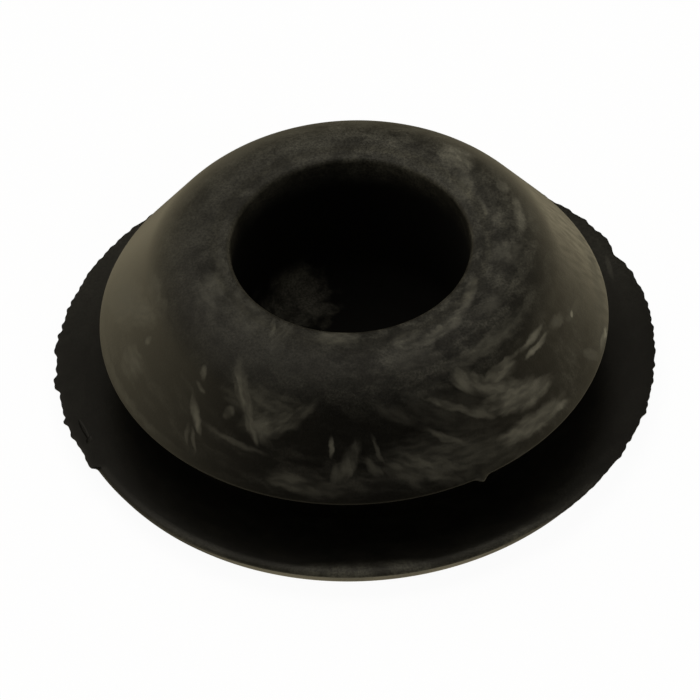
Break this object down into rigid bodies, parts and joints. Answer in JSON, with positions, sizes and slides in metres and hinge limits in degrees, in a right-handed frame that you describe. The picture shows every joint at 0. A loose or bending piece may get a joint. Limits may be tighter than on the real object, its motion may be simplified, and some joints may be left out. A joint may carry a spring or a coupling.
{
  "type": "rubber blanking plug",
  "caption": "Round push-in rubber plug: a thin flange covers a panel hole, a groove grips its edge, and a hollow conical nose folds in to pass it.",
  "frame": {"origin": "middle of the flange's flat underside", "axes": "+Z along the plug's axis, out of the nose; the ragged flash stands out furthest along X"},
  "size_m": [0.0307, 0.03, 0.0097],
  "materials": {
    "rubber": "matt moulded rubber with a faint pale bloom"
  },
  "bodies": {
    "root": {"blanking_plug": "rubber"}
  },
  "joints": []
}
